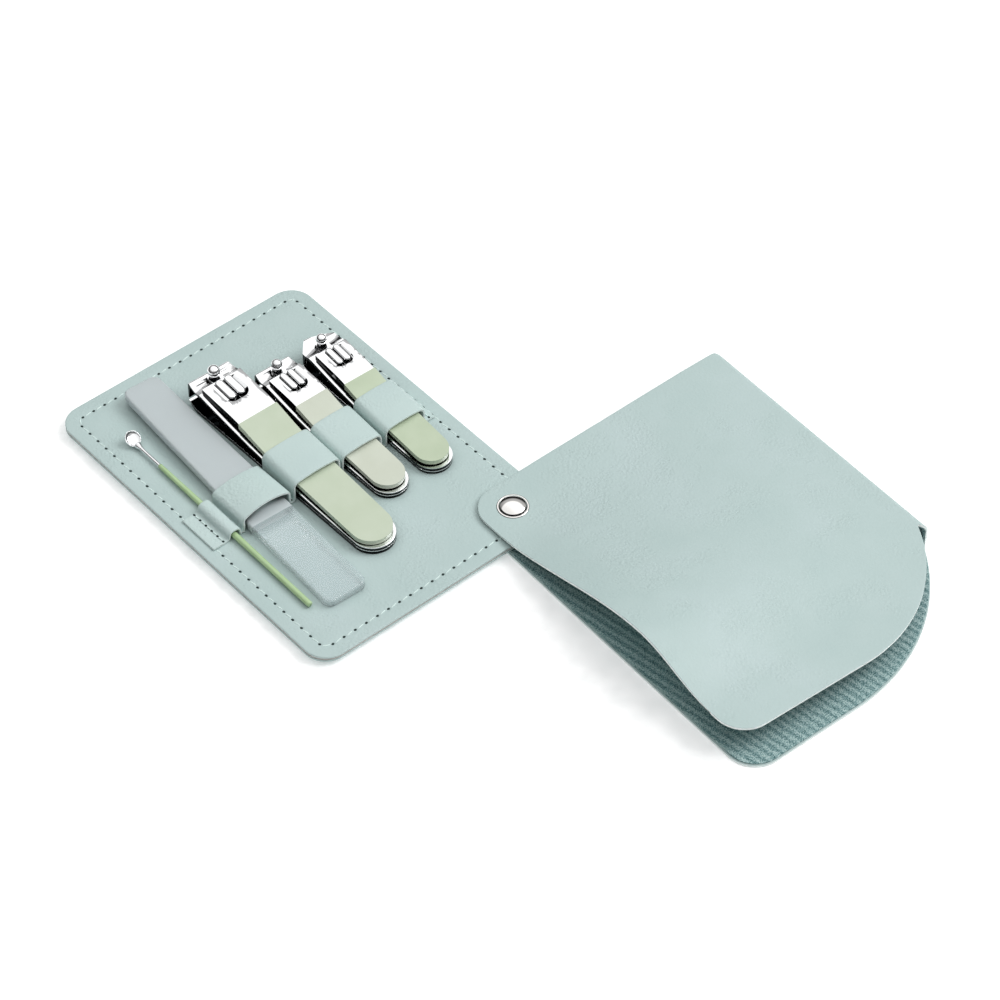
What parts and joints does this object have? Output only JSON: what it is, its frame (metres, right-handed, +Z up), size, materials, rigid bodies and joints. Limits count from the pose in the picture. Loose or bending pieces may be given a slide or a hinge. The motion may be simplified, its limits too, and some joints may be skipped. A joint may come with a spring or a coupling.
{
  "type": "manicure set case",
  "caption": "Swivel-out manicure case: a folded leatherette cover riveted to a stiff card that holds nail clippers, a glass file and an ear pick in sewn loops.",
  "frame": {"origin": "the rivet's axis on the surface that the case rests on", "axes": "+Z up; +Y along the tool card away from the rivet; +X towards the spine of the cover"},
  "size_m": [0.1616, 0.2262, 0.018],
  "materials": {
    "leatherette": "fine-grained polyurethane leatherette, satin",
    "lining": "ribbed woven lining, matt",
    "board": "grey board",
    "rivet_steel": "plated steel",
    "rivet_polish": "polished nickel plate",
    "clipper_chrome": "polished chrome plate",
    "enamel_green": "pale green enamel, satin",
    "enamel_beige": "pale beige enamel, satin",
    "enamel_sage": "pale sage enamel, satin",
    "grip_enamel": "green enamel, gloss",
    "pick_steel": "polished steel",
    "frosted_glass": "toughened glass, etched above, clear below"
  },
  "bodies": {
    "cover": {"base_leaf_shell": "leatherette", "base_leaf_lining": "lining", "flap_corner_shell": "leatherette", "flap_corner_lining": "lining", "rivet_post": "rivet_steel", "rivet_cap": "rivet_polish"},
    "flap": {"flap_shell": "leatherette", "flap_lining": "lining"},
    "card": {"card_back_skin": "leatherette", "card_board": "board", "card_front_skin": "leatherette", "tool_band": "leatherette", "ear_pick_loop": "leatherette"},
    "ear_pick": {"ear_pick_grip": "grip_enamel", "ear_pick_stem": "pick_steel"},
    "file": {"glass_file": "frosted_glass"},
    "large_clipper": {"large_lower_arm": "clipper_chrome", "large_pin": "clipper_chrome", "large_tail_rivet": "clipper_chrome"},
    "large_press": {"large_upper_arm": "clipper_chrome", "large_lever": "clipper_chrome", "large_lever_enamel": "enamel_green"},
    "small_clipper": {"small_lower_arm": "clipper_chrome", "small_pin": "clipper_chrome", "small_tail_rivet": "clipper_chrome"},
    "small_press": {"small_upper_arm": "clipper_chrome", "small_lever": "clipper_chrome", "small_lever_enamel": "enamel_beige"},
    "slant_clipper": {"slant_lower_arm": "clipper_chrome", "slant_pin": "clipper_chrome", "slant_tail_rivet": "clipper_chrome"},
    "slant_press": {"slant_upper_arm": "clipper_chrome", "slant_lever": "clipper_chrome", "slant_lever_enamel": "enamel_sage"}
  },
  "joints": [
    {"name": "card_swivel", "type": "hinge", "parent": "cover", "child": "card", "pos_m": [0, 0, 0], "axis": [0, 0, 1], "range_deg": [0, 178]},
    {"name": "flap_lift", "type": "hinge", "parent": "cover", "child": "flap", "pos_m": [0.08195, -0.00286, 0], "axis": [0.0349, 0.9994, 0], "range_deg": [0, 12.5]},
    {"name": "ear_pick_slide", "type": "slide", "parent": "card", "child": "ear_pick", "axis": [0.007, 1, 0], "range_m": [0, 0.0505]},
    {"name": "file_slide", "type": "slide", "parent": "card", "child": "file", "axis": [0.0401, 0.999, 0.0175], "range_m": [0, 0.0548]},
    {"name": "large_slide", "type": "slide", "parent": "card", "child": "large_clipper", "axis": [0, 1, 0], "range_m": [0, 0.0478]},
    {"name": "large_squeeze", "type": "hinge", "parent": "large_clipper", "child": "large_press", "pos_m": [-0.0364, 0.023, 0.0047], "axis": [-1, 0, 0], "range_deg": [0, 0.737], "stiffness_Nm_per_rad": 0.3, "springref_deg": -5.73},
    {"name": "small_slide", "type": "slide", "parent": "card", "child": "small_clipper", "axis": [0, 1, 0], "range_m": [0, 0.034]},
    {"name": "small_squeeze", "type": "hinge", "parent": "small_clipper", "child": "small_press", "pos_m": [-0.0201, 0.0338, 0.0046], "axis": [-1, 0, 0], "range_deg": [0, 0.909], "stiffness_Nm_per_rad": 0.3, "springref_deg": -5.73},
    {"name": "slant_slide", "type": "slide", "parent": "card", "child": "slant_clipper", "axis": [0.0192, 0.9998, 0], "range_m": [0, 0.0348]},
    {"name": "slant_squeeze", "type": "hinge", "parent": "slant_clipper", "child": "slant_press", "pos_m": [-0.00453, 0.033, 0.0046], "axis": [-0.9998, 0.0192, 0], "range_deg": [0, 0.858], "stiffness_Nm_per_rad": 0.3, "springref_deg": -5.73}
  ],
  "couplings": [
    {"joint": "flap_lift", "follows": "card_swivel", "ratio": 0.070225}
  ]
}
